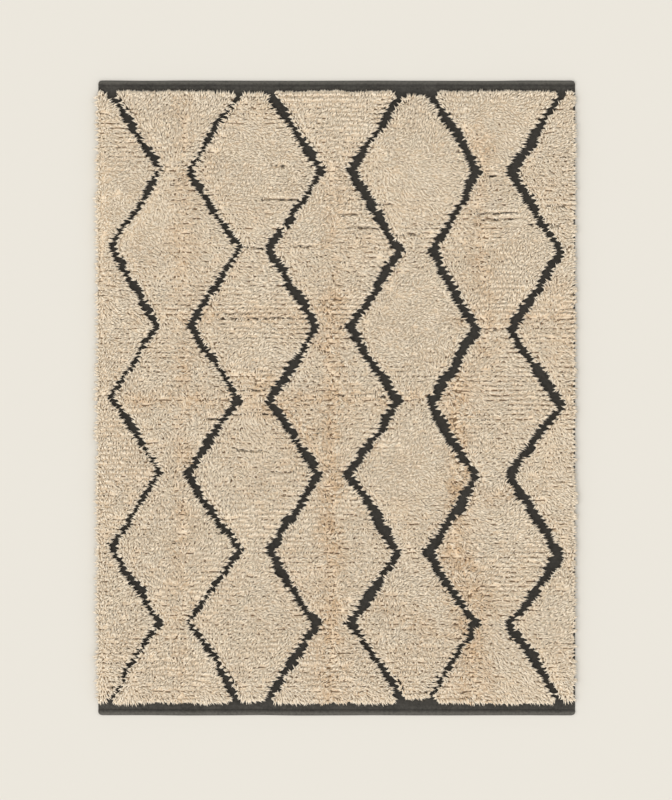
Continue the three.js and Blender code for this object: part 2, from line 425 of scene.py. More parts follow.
def soft_noise(kind, x, y, step=0):
    """Smooth noise from -1 to 1 over the rug, of a kind in SWELLS. step sets like things apart."""
    size, seed = SWELLS[kind]
    cells = np.random.default_rng(seed + step).uniform(-1, 1, (NOISE_CELLS, NOISE_CELLS))
    u = np.asarray(x) / size + NOISE_SHIFT
    v = np.asarray(y) / size + NOISE_SHIFT
    column = np.floor(u).astype(int)
    row = np.floor(v).astype(int)
    across = (u - column) ** 2 * (3 - 2 * (u - column))
    along = (v - row) ** 2 * (3 - 2 * (v - row))

    def corner(i, j):
        return cells[(column + i) % NOISE_CELLS, (row + j) % NOISE_CELLS]

    near = corner(0, 0) * (1 - across) + corner(1, 0) * across
    far = corner(0, 1) * (1 - across) + corner(1, 1) * across
    return near * (1 - along) + far * along


def turning_points(line):
    """The turns of a zigzag line from the near end of the rug to the far end: across, and along."""
    across = np.array(LINES[line]["across"][::-1]) * MM
    ends = np.array(TURNS_ALONG[::-1]) * MM
    along = ends[:, 0] + (ends[:, 1] - ends[:, 0]) * (across / RUG_WIDTH + 0.5)
    return across, along


def line_middle(line, y):
    across, along = turning_points(line)
    run = np.clip(np.searchsorted(along, y) - 1, 0, len(along) - 2)
    share = np.clip((y - along[run]) / (along[run + 1] - along[run]), 0, 1)
    bows = np.array(LINES[line]["bows"][::-1]) * MM
    return np.interp(y, along, across) + bows[run] * np.sin(math.pi * share)


def line_width(line, y):
    """How wide the line shows at this place along the rug, with its bulges."""
    _, along = turning_points(line)
    stations = np.concatenate([along[:1], (along[1:] + along[:-1]) / 2, along[-1:]])
    width = np.interp(y, stations, np.array(LINES[line]["shows"][::-1]) * MM)
    return width * (1 + LINE_BULGE * soft_noise("line bulge", np.full_like(y, line), y, line))


def rim(field, side, y, overhang):
    """Where the rooted edge of a field is at each place along the rug. The overhang keeps it off the line, as
    its locks flop over. side is -1 at the field's left, 1 at its right."""
    line = field - 1 if side < 0 else field
    if line < 0 or line >= len(LINES):
        return np.full_like(y, side * RUG_WIDTH / 2 + RIM_SHIFT[side])
    stray = 5 * MM * soft_noise("line stray", np.full_like(y, line), y)
    wander = 3 * MM * soft_noise("rim wander", np.full_like(y, line * 2 + side), y)
    return line_middle(line, y) - side * (line_width(line, y) / 2 + overhang) + stray + wander


def rims(field, y, overhang):
    return rim(field, -1, y, overhang), rim(field, 1, y, overhang)


def calm_share(x, y):
    """From 0 to 1, how evenly the pile lies."""
    share = np.zeros_like(x)
    for middle, along, around in CALM:
        off = np.hypot(x - middle * MM, y - along * MM) / (around * MM)
        share = np.maximum(share, np.exp(-off ** 4))
    return share


def end_reach(x, end):
    """How far along the rug the rooted pile reaches at each place across it, towards one end."""
    reach = PILE_REACH + FAR_REACH * (end > 0) + 2.0 * MM * soft_noise("end reach", x, np.full_like(x, end))
    for which, start, stop, short in SHORT_ENDS:
        if which == end:
            inside = np.minimum(x - start * MM, stop * MM - x) / SHORT_EASE
            reach = reach - short * MM * np.clip(inside, 0, 1)
    return reach


def parting_wander(x, along):
    """How far a parting strays from its place along the rug."""
    return 2.5 * MM * soft_noise("parting", x, along)


def parting_offsets(x, y):
    """How far each place is past the nearest parting along the rug, far away where there is none."""
    nearest = np.full(x.shape, 1.0)
    for along, start, stop in PARTINGS:
        offset = y - along * MM - parting_wander(x, np.full_like(x, along * MM))
        beside = (x > start * MM) & (x < stop * MM)
        offset = np.where(beside, offset, 1.0)
        nearest = np.where(np.abs(offset) < np.abs(nearest), offset, nearest)
    return nearest


def parted_share(x, y):
    """From 0 to 1, how far a parting opens the pile."""
    return np.clip((PARTING_REACH - np.abs(parting_offsets(x, y))) / PARTING_RIM, 0, 1)


def off_fold(start, stop, x, y):
    """The run of a fold, and how far each place is from the nearest place on it: across, and along."""
    start = np.array(start) * MM
    run = np.array(stop) * MM - start
    at = np.clip(((x - start[0]) * run[0] + (y - start[1]) * run[1]) / (run @ run), 0, 1)
    return run, x - start[0] - at * run[0], y - start[1] - at * run[1]


def fold_share(x, y):
    """From 0 to 1, how rumpled the pile is by the folds."""
    share = np.zeros_like(x)
    for i, (start, stop, wide, deep) in enumerate(FOLDS):
        _, off_x, off_y = off_fold(start, stop, x, y)
        off = np.hypot(off_x, off_y) + 12 * MM * soft_noise("fold width", x, y, i)
        share = np.maximum(share, deep * np.exp(-(off / (wide * MM)) ** 2))
    return share * np.clip(0.8 + 0.5 * soft_noise("fold depth", x, y), 0.15, 1)


def fold_asides(x, y):
    """For each fold, how far each place is to its side, the unit direction of that side, and how strong it is
    there."""
    for i, (start, stop, _, deep) in enumerate(FOLDS):
        run, off_x, off_y = off_fold(start, stop, x, y)
        side = np.array((-run[1], run[0])) / math.hypot(*run)
        aside = off_x * side[0] + off_y * side[1] + CREASE_SWAY * soft_noise("crease", x, y, i)
        near = np.exp(-np.hypot(off_x, off_y) / FOLD_SPREAD)
        yield aside, side, deep * near


def parted_by_folds(x, y, rng):
    """The locks' places, moved out of the creases of the folds."""
    broken = np.clip(0.5 + 1.5 * soft_noise("crease breaks", x, y), 0, 1)
    clear = broken * rng.uniform(0.5, 3.5, len(x)) * MM
    for aside, side, strength in fold_asides(x, y):
        moved = np.clip(clear * strength - np.abs(aside), 0, None) * np.where(aside < 0, -1, 1)
        x, y = x + moved * side[0], y + moved * side[1]
    return x, y


def deselect_all():
    if bpy.context.mode != "OBJECT":
        bpy.ops.object.mode_set(mode="OBJECT")
    bpy.ops.object.select_all(action="DESELECT")


def vertex_places(mesh):
    places = np.empty(len(mesh.vertices) * 3)
    mesh.vertices.foreach_get("co", places)
    return places.reshape(-1, 3)


def set_vertex_places(mesh, places):
    mesh.vertices.foreach_set("co", places.ravel())
    mesh.update()


def smooth_all(mesh):
    mesh.polygons.foreach_set("use_smooth", np.ones(len(mesh.polygons), dtype=bool))


def colour_vertices(mesh, name, colours):
    attribute = mesh.color_attributes.new(name, "FLOAT_COLOR", "POINT")
    attribute.data.foreach_set("color", colours.ravel().astype(np.float32))


def lay_out(mesh, name, uvs):
    layer = mesh.uv_layers.new(name=name)
    layer.uv.foreach_set("vector", uvs.ravel().astype(np.float32))


def close_below(mesh, drop, foot):
    """Make the active sheet solid: extrude it down, and lay its new underside flat at the height foot."""
    bpy.ops.object.mode_set(mode="EDIT")
    bpy.ops.mesh.select_all(action="SELECT")
    bpy.ops.mesh.extrude_region_move(TRANSFORM_OT_translate={"value": (0, 0, -drop)})
    bpy.ops.object.mode_set(mode="OBJECT")
    below = np.zeros(len(mesh.vertices), dtype=bool)
    mesh.vertices.foreach_get("select", below)
    places = vertex_places(mesh)
    places[below, 2] = foot
    set_vertex_places(mesh, places)
    bpy.ops.object.mode_set(mode="EDIT")
    bpy.ops.mesh.select_all(action="SELECT")
    bpy.ops.mesh.normals_make_consistent(inside=False)
    bpy.ops.object.mode_set(mode="OBJECT")
    smooth_all(mesh)
    return places


def colour_setting(name, description, *screen):
    return bpy.props.FloatVectorProperty(
        name=name, description=description, subtype="COLOR", default=linear(*screen))


def length_setting(name, description, default):
    return bpy.props.FloatProperty(name=name, description=description, default=default, unit="LENGTH")


class GroundSettings(bpy.types.PropertyGroup):
    thickness: length_setting("Thickness", "How thick the flat cloth is", 3 * MM)
    hem_width: length_setting("Hem width", "How far the rolled hem reaches in", 16 * MM)
    corner: length_setting("Corner radius", "How round the corners are", 12 * MM)
    rib_pitch: length_setting("Rib pitch", "From one weft rib to the next", 3.2 * MM)
    dark: colour_setting("Dark wool", "The darkest of the charcoal", 48, 46, 42)
    light: colour_setting("Light wool", "The lightest of the charcoal", 84, 81, 75)
    # A painted highlight along the crowns of the rolled hems
    hem_highlight: colour_setting("Hem highlight", "Along the crown of the hems", 98, 95, 88)
    # The ground between the fields, darker as painted shade from the pile walls beside it
    line: colour_setting("Lines", "The unfaded ground between the fields", 42, 39, 35)


class ShagSettings(bpy.types.PropertyGroup):
    length: length_setting("Lock length", "From knot to tip", 25 * MM)
    width: length_setting("Lock width", "Across one lock", 5.6 * MM)
    row_pitch: length_setting("Row pitch", "From one row of knots to the next", 15 * MM)
    spacing: length_setting("Spacing", "From one lock to the next in a lane", 5.2 * MM)
    overhang: length_setting("Overhang", "How far the rims flop over the lines", 8.0 * MM)
    cream: colour_setting("Cream", "Most of the yarn", 249, 234, 210)
    ivory: colour_setting("Ivory", "The cooler yarn", 243, 230, 209)
    # Browner yarn, also used as painted shade in the folds, between rows and beside open gaps
    tan: colour_setting("Tan", "Browner yarn, and painted shade in the creases", 226, 198, 162)
    # Painted shade towards the roots of the locks and on the mat
    root: colour_setting("Root", "Down between the locks", 243, 224, 196)
    # Painted shade: dark pits on the mat and dark dashes between its rows
    gap: colour_setting("Gap", "The foot of the pile between its locks", 124, 102, 78)
    parted: colour_setting("Parted", "The foot of the pile where two rows part", 56, 50, 43)


class StageSettings(bpy.types.PropertyGroup):
    floor: colour_setting("Floor", "The pale floor", 218, 214, 205)
    distance: length_setting("Camera height", "Above the rug", 12.0)
    view_length: length_setting("View length", "How much floor the view takes in along the rug", 2.518)
    room: bpy.props.FloatProperty(
        name="Room light", description="From all around", default=0.83)
    key: bpy.props.FloatProperty(
        name="Key light", description="From high up at the near left", default=1.06)
    window: bpy.props.FloatProperty(
        name="Window light", description="From low beyond the near end", default=0.6)


def ground_finish(settings):
    """Charcoal wool flatweave: weft ribs across the rug over the warps, with a mottled heather. A painted
    highlight runs along the crown of each hem, and painted shade darkens its groove and the ground between the
    pile's fields.
    """
    finish = Finish("charcoal_flatweave")
    place = finish.place()
    parts = finish.node("ShaderNodeSeparateXYZ", {}, {"Vector": place})
    across, along = parts.beside("X"), parts.beside("Y")
    waver = finish.noise(place, 60.0)
    turn = 2 * math.pi / settings.rib_pitch
    ribs = (along * turn + waver * 4.0).sine()
    warps = (across * (turn * 0.8) + waver * 3.0).sine()
    weave = ribs * 0.65 + ribs * warps * 0.35
    fuzz = finish.noise(finish.place((1.0, 3.0, 1.0)), 900.0, 3.0, 0.7)
    heather = finish.noise(place, 130.0, 3.0, 0.7)
    patches = finish.noise(place, 14.0, 2.0)
    shade = (heather * 0.55 + fuzz * 0.3 + patches * 0.25 + weave * 0.06).clamped()
    colour = finish.mix(finish.spread(shade, 0.42, 0.68), settings.dark, settings.light)
    painted_light = finish.node("ShaderNodeAttribute", {"attribute_name": "painted_light"}, {}, "Color")
    shares = finish.node("ShaderNodeSeparateColor", {}, {"Color": painted_light})
    crown, groove, shadowed = shares.beside("Red"), shares.beside("Green"), shares.beside("Blue")
    # Painted highlight along each hem's crown, painted shade in its groove and on the ground between the fields
    colour = finish.mix(crown * finish.spread(heather, 0.3, 0.7, 0.4, 0.9), colour, settings.hem_highlight)
    colour = finish.mix(groove * 0.45, colour, settings.dark)
    colour = finish.mix(shadowed * 0.57, colour, settings.line)
    roughness = finish.spread(fuzz, 0.2, 0.8, 0.86, 0.98)
    bump = finish.bump(weave * 0.6 + fuzz * 0.5, 0.6, 0.6 * MM)
    finish.surface(colour, roughness, specular=0.15, sheen=0.12, sheen_roughness=0.6, normal=bump)
    return finish.material


def shag_finish(settings):
    """Cream wool yarn: the locks differ a little, some are browner, and the ply twists. Painted shade browns
    the creases and darkens each lock towards its root. The mat under the locks has dark pits and dark dashes
    between its rows as painted shade, and is as dark as the ground where it is parted."""
    finish = Finish("cream_shag")
    yarn = finish.node("ShaderNodeAttribute", {"attribute_name": "yarn"}, {}, "Color")
    parts = finish.node("ShaderNodeSeparateColor", {}, {"Color": yarn})
    own, tip, tan_and_shade = parts.beside("Red"), parts.beside("Green"), parts.beside("Blue")
    kind = yarn.beside("Alpha")
    on_mat = finish.spread(kind, YARN_MAT, YARN_LOCK, 1.0, 0.0)
    place = finish.place()
    tufts = finish.noise(place, 260.0, 1.0, 0.5)
    fibres = finish.noise(place, 700.0, 2.0, 0.6)
    patches = finish.noise(place, 7.0, 2.0)
    light = (own * 0.72 + fibres * 0.2 + patches * 0.3 - 0.12).clamped()
    lock = finish.mix(light, settings.cream, settings.ivory)
    # Browner yarn here and there, and painted shade in the folds, between rows and beside open gaps
    lock = finish.mix(tan_and_shade.clamped(), lock, settings.tan)
    # Painted shade: each lock and the mat darken to the root colour towards the foot of the pile
    depth = finish.spread(tip + on_mat * (tufts - 0.5) * 1.6, 0.0, 0.4)
    colour = finish.mix(depth, settings.root, lock)
    # Painted shade: dark pits on the mat between the locks
    pits = finish.noise(place, 110.0, 1.0, 0.5) + tan_and_shade * 0.2 + own * 0.05
    pit_shade = finish.spread(pits, 0.71, 0.77) * on_mat
    colour = finish.mix(pit_shade, colour, settings.gap)
    where = finish.node("ShaderNodeSeparateXYZ", {}, {"Vector": place})
    across, along = where.beside("X"), where.beside("Y")
    pitch = whole_pitch(settings)
    # Painted shadows: dark dashes on the mat between the rows of knots
    row = ((PILE_REACH - along) / pitch).rounded()
    sway = (across * SWAY_TURNS + row * SWAY_STEP).sine() * GAP_SWAY
    off = (along - (PILE_REACH - row * pitch) - sway).absolute()
    between = finish.spread(off, 1.4 * MM, 3.2 * MM, 1.0, 0.0) * on_mat
    broken = finish.spread(finish.noise(place, 75.0, 1.0, 0.5), 0.36, 0.5)
    colour = finish.mix(between * broken * own, colour, settings.gap)
    dashed = finish.spread(finish.noise(place, 85.0, 1.0, 0.5), 0.42, 0.58)
    bare = finish.spread(kind, YARN_PARTED, YARN_MAT, 1.0, 0.0) * dashed
    colour = finish.mix(bare, colour, settings.parted)
    wound = finish.node("ShaderNodeUVMap", {"uv_map": "Yarn"}, {})
    turns = finish.node("ShaderNodeSeparateXYZ", {}, {"Vector": wound})
    round_lock, along_lock = turns.beside("X"), turns.beside("Y")
    ply = ((round_lock * 2 + along_lock * 5) * (2 * math.pi)).sine()
    roughness = finish.spread(fibres, 0.3, 0.7, 0.82, 0.95)
    bump = finish.bump(ply * 0.5 + fibres + on_mat * tufts * 8, 0.16, 0.5 * MM)
    finish.surface(colour, roughness, specular=0.2, sheen=0.1, sheen_roughness=0.5, normal=bump)
    return finish.material


class RUG_OT_ground_cloth(bpy.types.Operator):
    """Weave the charcoal ground cloth with its rolled hems"""

    bl_idname = "rug.ground_cloth"
    bl_label = "Ground cloth"

    def execute(self, context):
        settings = context.scene.rug_ground
        deselect_all()
        bpy.ops.mesh.primitive_grid_add(x_subdivisions=CLOTH_COLUMNS, y_subdivisions=CLOTH_ROWS, size=1)
        cloth = context.object
        cloth.name = cloth.data.name = "ground_cloth"
        places = vertex_places(cloth.data)
        x = places[:, 0] * RUG_WIDTH
        y = self.rows_along(places[:, 1]) * RUG_LENGTH / 2
        inset = RUG_LENGTH / 2 - np.abs(y)
        corner = settings.corner
        left_over = np.clip(corner - inset, 0, None)
        half = RUG_WIDTH / 2 - corner + np.sqrt(np.maximum(corner ** 2 - left_over ** 2, 0))
        x = x * half / (RUG_WIDTH / 2)
        pull = 1.2 * MM * (1 + soft_noise("hem pull", x, np.sign(y))) * (inset < 60 * MM)
        z = self.height(x, y, inset, settings)
        places = np.stack([x, y - np.sign(y) * pull, z], axis=1)
        set_vertex_places(cloth.data, places)
        places = close_below(cloth.data, HEM_HEIGHT, 0.0)
        bpy.ops.object.shade_smooth_by_angle(angle=math.radians(50))
        colour_vertices(cloth.data, "painted_light", self.painted_light(places[:, 1], settings))
        cloth.data.materials.append(ground_finish(settings))
        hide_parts("ground")
        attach(cloth, "root")
        return {"FINISHED"}

    def painted_light(self, y, settings):
        """Painted light on the cloth, as the first three numbers of a colour: a painted highlight along the
        crown of each hem, painted shade in its groove, and painted shade on the ground under the pile."""
        inset = RUG_LENGTH / 2 - np.abs(y)
        hem = self.hem(y, settings)
        shares = np.ones((len(y), 4))
        shares[:, 0] = np.exp(-((inset - 0.4 * hem) / (5 * MM)) ** 2)
        shares[:, 1] = np.exp(-((inset - hem - GROOVE_OFF) / (3 * MM)) ** 2)
        shares[:, 2] = np.clip((inset - 30 * MM) / (20 * MM), 0, 1)
        return shares

    def hem(self, y, settings):
        """How far in the hem reaches: the near one is wider."""
        return settings.hem_width + NEAR_HEM * (y < 0)

    def rows_along(self, even):
        """Rows of the grid, from -1 to 1 along the rug, closer together in the hems."""
        share = np.abs(even) * 2
        hem = HEM_ZONE / (RUG_LENGTH / 2)
        body = share / BODY_ROWS * (1 - hem)
        end = 1 - hem + (share - BODY_ROWS) / (1 - BODY_ROWS) * hem
        return np.sign(even) * np.where(share < BODY_ROWS, body, end)

    def height(self, x, y, inset, settings):
        """How high the cloth's upper face is: the roll of the hem, its groove, the selvedge and soft
        swells."""
        hem = self.hem(y, settings)
        roll = np.clip(inset / hem, 0, 1)
        rolled = HEM_HEIGHT * np.sqrt(np.clip(1 - (2 * roll - 1) ** 2, 0, 1))
        rolled *= 0.94 + 0.05 * soft_noise("hem roll", x, np.sign(y))
        flat = settings.thickness + 0.35 * MM * soft_noise("cloth", x, y)
        groove = GROOVE_DEPTH * np.exp(-((inset - hem - GROOVE_OFF) / (2 * MM)) ** 2)
        edge = RUG_WIDTH / 2 - np.abs(x)
        selvedge = SELVEDGE_SWELL * np.exp(-((edge - 4 * MM) / (4 * MM)) ** 2)
        body = flat - groove + selvedge
        return np.maximum(np.where(inset < hem, np.maximum(rolled, HEM_LIP), body), THINNEST_CLOTH)


def whole_pitch(settings):
    """From one row of knots to the next, so that a whole number of rows fills the pile."""
    return 2 * PILE_REACH / round(2 * PILE_REACH / settings.row_pitch)


def row_gaps(x, y, settings):
    """How far each place is past the nearest gap between two rows of knots, and from 0 to 1 how far that gap
    is open."""
    pitch = whole_pitch(settings)
    row = np.rint((PILE_REACH - y) / pitch)
    sway = GAP_SWAY * np.sin(x * SWAY_TURNS + row * SWAY_STEP)
    offset = y - (PILE_REACH - row * pitch) - sway
    likely = 0.9 * ridge_share(x, y) + 0.6 * fold_share(x, y) - 0.3 * calm_share(x, y)
    dashes = soft_noise("dashes", x, row * DASH_LENGTH)
    return offset, np.clip((dashes - DASH_LEVEL + 0.6 * likely) / 0.2, 0, 1)


def ridge_share(x, y):
    """From 0 to 1, how plainly the rows of knots stand out as ridges."""
    zones = np.clip(0.4 + 1.2 * soft_noise("ridge zones", x, y), 0, 1) * (1 - 0.8 * calm_share(x, y))
    return zones * np.clip(0.65 + 0.9 * soft_noise("ridges", x, y), 0, 1)


def knot_field(field, settings, rng):
    """The locks of one field, as seven rows of numbers: where each is rooted across and along, which side rim
    and which end rim it belongs to from -1 to 1, with 0 inside, how far it is from the middle of its row as a
    share of the row, how far it turns from straight out at a rim, and its share of the full length. Each row
    of knots is a few lanes of locks, and ends in locks that flop over the rims."""
    pitch = whole_pitch(settings)
    rows = round(2 * PILE_REACH / pitch)
    found = []
    for row in range(rows):
        middle = PILE_REACH - (row + 0.5) * pitch
        left, right = rims(field, middle, settings.overhang) + rng.normal(0, ROW_STRAY, 2)
        run = right - left - 2 * LANE_INSET
        count = max(int(run / settings.spacing), 1)
        for lane in range(LANES):
            x = left + LANE_INSET + run * (np.arange(count) + rng.uniform(0.1, 0.9, count)) / count
            share = (lane + rng.uniform(0.1, 0.9, count)) / LANES - 0.5
            y = middle + share * pitch * (1 - 0.62 * ridge_share(x, middle))
            none, whole = np.zeros(count), np.ones(count)
            found.append(np.stack([x, y, none, none, share, none, whole]))
        for side, edge in ((-1, left), (1, right)):
            share = (np.arange(SIDE_LOCKS) + rng.uniform(0.2, 0.8, SIDE_LOCKS)) / SIDE_LOCKS - 0.5
            x = edge - side * (rng.uniform(-1, 3, SIDE_LOCKS) + ROW_ROUNDING * (2 * share) ** 2) * MM
            y = middle + share * pitch * 0.9
            none, whole = np.zeros(SIDE_LOCKS), np.ones(SIDE_LOCKS)
            longer = LEFT_EXTRA if side < 0 and field == 0 else 0.0
            turn = rng.normal(0, SIDE_TURN) * whole
            reach = (rng.uniform(*SIDE_REACH) + longer) * whole
            found.append(np.stack([x, y, side * whole, none, share, turn, reach]))
    for end in (-1, 1):
        left, right = rims(field, end * PILE_REACH, settings.overhang)
        count = max(int((right - left) / END_SPACING), 0)
        x = np.linspace(left, right, count) + rng.uniform(-0.6, 0.6, count) * MM
        y = end * (end_reach(x, end) - rng.uniform(-1, 4, count) * MM)
        none, whole = np.zeros(count), np.ones(count)
        turn = END_TURN * soft_noise("end turn", x, none, end)
        reach = END_REACH + END_TUFTS[end] * soft_noise("end tufts", x, none, end)
        found.append(np.stack([x, y, none, end * whole, none, turn, reach]))
    x, y, side, last, share, turn, reach = np.concatenate(found, axis=1)
    for end in (-1, 1):
        y = np.where(end * y > end_reach(x, end), end * end_reach(x, end), y)
    return x, y, side, last, share, turn, reach


def own_lean(way, x, y, rng):
    """How far each lock leans across or along by itself, with the pile's swells and the folds' rumples."""
    base, broad, fine = LEANS[way]
    go = base + broad * soft_noise(f"lean {way}, broad", x, y) + fine * soft_noise(f"lean {way}, fine", x, y)
    go += RUMPLE * fold_share(x, y) * soft_noise(f"rumple {way}", x, y)
    return go + rng.normal(0, LEAN_STRAY, len(x))


def pushed(kind, away):
    """How strongly something pushes the locks over, this far away from it."""
    strength, fades = PUSHES[kind]
    return strength * np.exp(-away / fades)


def lean(field, x, y, settings, rng):
    """Which way each lock leans and how much, as a length across and a length along."""
    left, right = rims(field, y, settings.overhang)
    go_x = own_lean("across", x, y, rng)
    go_y = own_lean("along", x, y, rng)
    go_x += pushed("line", np.clip(right - x, 0, None)) - pushed("line", np.clip(x - left, 0, None))
    go_y += np.sign(y) * pushed("end", np.clip(PILE_REACH - np.abs(y), 0, None))
    for aside, side, strength in fold_asides(x, y):
        push = FOLD_PUSH * strength * np.where(aside < 0, -1, 1)
        go_x, go_y = go_x + push * side[0], go_y + push * side[1]
    parting = parting_offsets(x, y)
    go_y += np.sign(parting) * pushed("parting", np.abs(parting)) * (np.abs(parting) < 0.03)
    gap, opened = row_gaps(x, y, settings)
    go_y += opened * np.sign(gap) * pushed("row gap", np.abs(gap))
    return go_x, go_y


def lock_vertices(x, y, heading, down, long, thick, settings, rng):
    """The vertices of all locks of a field: each has a root, a ring where it bends and a tip. down says from
    0 to 1 how far a lock lies down, and long and thick are shares of the settings' length and width."""
    count = len(x)
    length = settings.length * long * rng.uniform(0.85, 1.15, count)
    radius = settings.width / 2 * thick * rng.uniform(0.8, 1.2, count)
    start = tilted(ROOT_TILT, down, rng)
    stop = tilted(TIP_TILT, down, rng)
    phase = rng.uniform(0, 2 * math.pi, count)
    places = np.zeros((count, LOCK_VERTICES, 3))
    root = np.stack([x, y, np.full(count, PILE_FOOT + ROOT_HEIGHT)], axis=1)
    bend = root + (LOCK_BEND * length)[:, None] * pointing(start, heading)
    places[:, 0] = root
    places[:, -1] = bend + ((1 - LOCK_BEND) * length)[:, None] * pointing(stop, heading)
    out = pointing((start + stop) / 2 + math.pi / 2, heading)
    aside = pointing(np.full(count, math.pi / 2), heading + math.pi / 2)
    for corner in range(SIDES):
        angle = (phase + corner * 2 * math.pi / SIDES)[:, None]
        places[:, 1 + corner] = bend + radius[:, None] * (np.cos(angle) * out + np.sin(angle) * aside)
    places[:, :, 2] = np.maximum(places[:, :, 2], PILE_FOOT + LOWEST_LOCK)
    return places


def tilted(tilt, down, rng):
    standing, lying, stray = tilt
    return np.radians(standing + lying * down + rng.normal(0, stray, len(down)))


def pointing(polar, facing):
    """Unit directions, from how far they turn down from upright and which way they face."""
    return np.stack([np.sin(polar) * np.cos(facing), np.sin(polar) * np.sin(facing), np.cos(polar)], axis=1)


def lock_faces():
    """The faces of one lock, and for each corner how far round and along the lock it is."""
    faces, round_along = [], []
    tip = LOCK_VERTICES - 1
    for corner in range(SIDES):
        beside = (corner + 1) % SIDES
        left, right = corner / SIDES, (corner + 1) / SIDES
        faces.append((0, 1 + beside, 1 + corner))
        round_along.extend([((left + right) / 2, 0.0), (right, LOCK_BEND), (left, LOCK_BEND)])
        faces.append((1 + corner, 1 + beside, tip))
        round_along.extend([(left, LOCK_BEND), (right, LOCK_BEND), ((left + right) / 2, 1.0)])
    return faces, np.array(round_along)


def locks_mesh(name, places, own, tan_and_shade):
    """One mesh of all locks of a field, with its yarn's colours and painted shade, how the yarn winds, and a
    place in the baked atlas for each lock."""
    count = len(places)
    faces, round_along = lock_faces()
    flat = np.array(faces).ravel()
    sizes = np.array([len(face) for face in faces])
    mesh = bpy.data.meshes.new(name)
    mesh.vertices.add(count * LOCK_VERTICES)
    mesh.vertices.foreach_set("co", places.ravel())
    corners = (np.arange(count)[:, None] * LOCK_VERTICES + flat[None, :]).ravel()
    mesh.loops.add(len(corners))
    mesh.loops.foreach_set("vertex_index", corners.astype(np.int32))
    totals = np.tile(sizes, count)
    starts = np.concatenate([[0], np.cumsum(totals)[:-1]])
    mesh.polygons.add(len(totals))
    mesh.polygons.foreach_set("loop_start", starts.astype(np.int32))
    mesh.polygons.foreach_set("loop_total", totals.astype(np.int32))
    mesh.update(calc_edges=True)
    smooth_all(mesh)
    lay_out(mesh, "Yarn", np.tile(round_along, (count, 1)))
    columns = int(math.ceil(math.sqrt(count * 2)))
    rows = int(math.ceil(count / columns))
    cell_x = (np.arange(count) % columns)[:, None]
    cell_y = (np.arange(count) // columns)[:, None]
    u = (cell_x + 0.08 + 0.84 * round_along[None, :, 0]) / columns
    v = ATLAS_FLOOR + (1 - ATLAS_FLOOR) * (cell_y + 0.06 + 0.88 * round_along[None, :, 1]) / rows
    lay_out(mesh, "OFBake", np.stack([u, v], axis=2))
    along = np.repeat((0.0, LOCK_BEND, 1.0), (1, SIDES, 1))
    colours = np.full((count, LOCK_VERTICES, 4), YARN_LOCK)
    colours[:, :, 0] = own[:, None]
    # How far along the lock each vertex is: towards the root it takes painted shade
    colours[:, :, 1] = 0.1 + 0.9 * along[None, :]
    colours[:, :, 2] = tan_and_shade[:, None]
    colour_vertices(mesh, "yarn", colours)
    return mesh


def mat_stations(field):
    """Places along the rug for the rows of a mat's mesh, with a few of them following each parting in the
    field, and for each row the parting that it follows, or nan."""
    along = np.linspace(-PILE_REACH, PILE_REACH, MAT_ROWS + 1)
    follows = np.full(len(along), np.nan)
    for middle, start, stop in PARTINGS:
        at = middle * MM
        left, right = rims(field, at, 0)
        if stop * MM < left or start * MM > right:
            continue
        clear = np.abs(along - at) > CLEAR_OF_PARTING
        added = at + np.array(BESIDE_PARTING) * MM
        along = np.concatenate([along[clear], added])
        follows = np.concatenate([follows[clear], np.full(len(added), at)])
    order = np.argsort(along)
    return along[order], follows[order]


def root_mat(field, settings, name):
    """The dense lower part of the pile, as one low lumpy slab under the locks."""
    deselect_all()
    stations, follows = mat_stations(field)
    rows = len(stations) - 1
    bpy.ops.mesh.primitive_grid_add(x_subdivisions=MAT_COLUMNS, y_subdivisions=rows, size=1)
    mat = bpy.context.object
    mat.name = name
    mesh = mat.data
    places = vertex_places(mesh)
    station = np.rint((places[:, 1] + 0.5) * rows).astype(int)
    y = stations[station]
    left, right = rims(field, y, settings.overhang)
    right = np.maximum(right, left + 2 * MM)
    x = left + (right - left) * (places[:, 0] + 0.5)
    followed = follows[station]
    y = np.where(np.isnan(followed), y, y + parting_wander(x, followed))
    reach = np.where(y > 0, end_reach(x, 1), end_reach(x, -1))
    y = y * reach / PILE_REACH
    edge = np.minimum(np.minimum(x - left, right - x), reach - np.abs(y))
    swell = MAT_HEIGHT + MAT_SWELL * soft_noise("mat", x, y)
    height = swell * np.clip(0.25 + edge / MAT_SHOULDER, 0, 1)
    height = np.maximum(height * (1 - 0.8 * parted_share(x, y)), LOWEST_MAT)
    set_vertex_places(mesh, np.stack([x, y, PILE_FOOT + height], axis=1))
    places = close_below(mesh, MAT_DROP, PILE_FOOT)
    while mesh.uv_layers:
        mesh.uv_layers.remove(mesh.uv_layers[0])
    vertex_of = np.empty(len(mesh.loops), dtype=np.int32)
    mesh.loops.foreach_get("vertex_index", vertex_of)
    corner = places[vertex_of]
    lay_out(mesh, "Yarn", np.zeros((len(corner), 2)))
    low, high = places.min(axis=0), places.max(axis=0)
    flat = (corner[:, [1, 0]] - low[[1, 0]]) / (high[[1, 0]] - low[[1, 0]])
    lay_out(mesh, "OFBake", flat * (0.98, 0.9 * ATLAS_FLOOR) + (0.01, 0.05 * ATLAS_FLOOR))
    x, y = places[:, 0], places[:, 1]
    # The mat's yarn colours: its tint, a share of the root colour as painted shade, and tan as painted shade in
    # the folds
    colours = np.full((len(places), 4), 0.3)
    colours[:, 0] = 1 - 0.8 * calm_share(x, y)
    colours[:, 2] = 0.1 + 0.7 * fold_share(x, y)
    colours[:, 3] = YARN_MAT * (1 - parted_share(x, y))
    colour_vertices(mesh, "yarn", colours)
    return mat


def stand_clear(y, offset, clear):
    """Places along the rug, moved until they are this clear of what they are offset from."""
    return np.where(np.abs(offset) < clear, y + np.sign(offset) * (clear - np.abs(offset)), y)


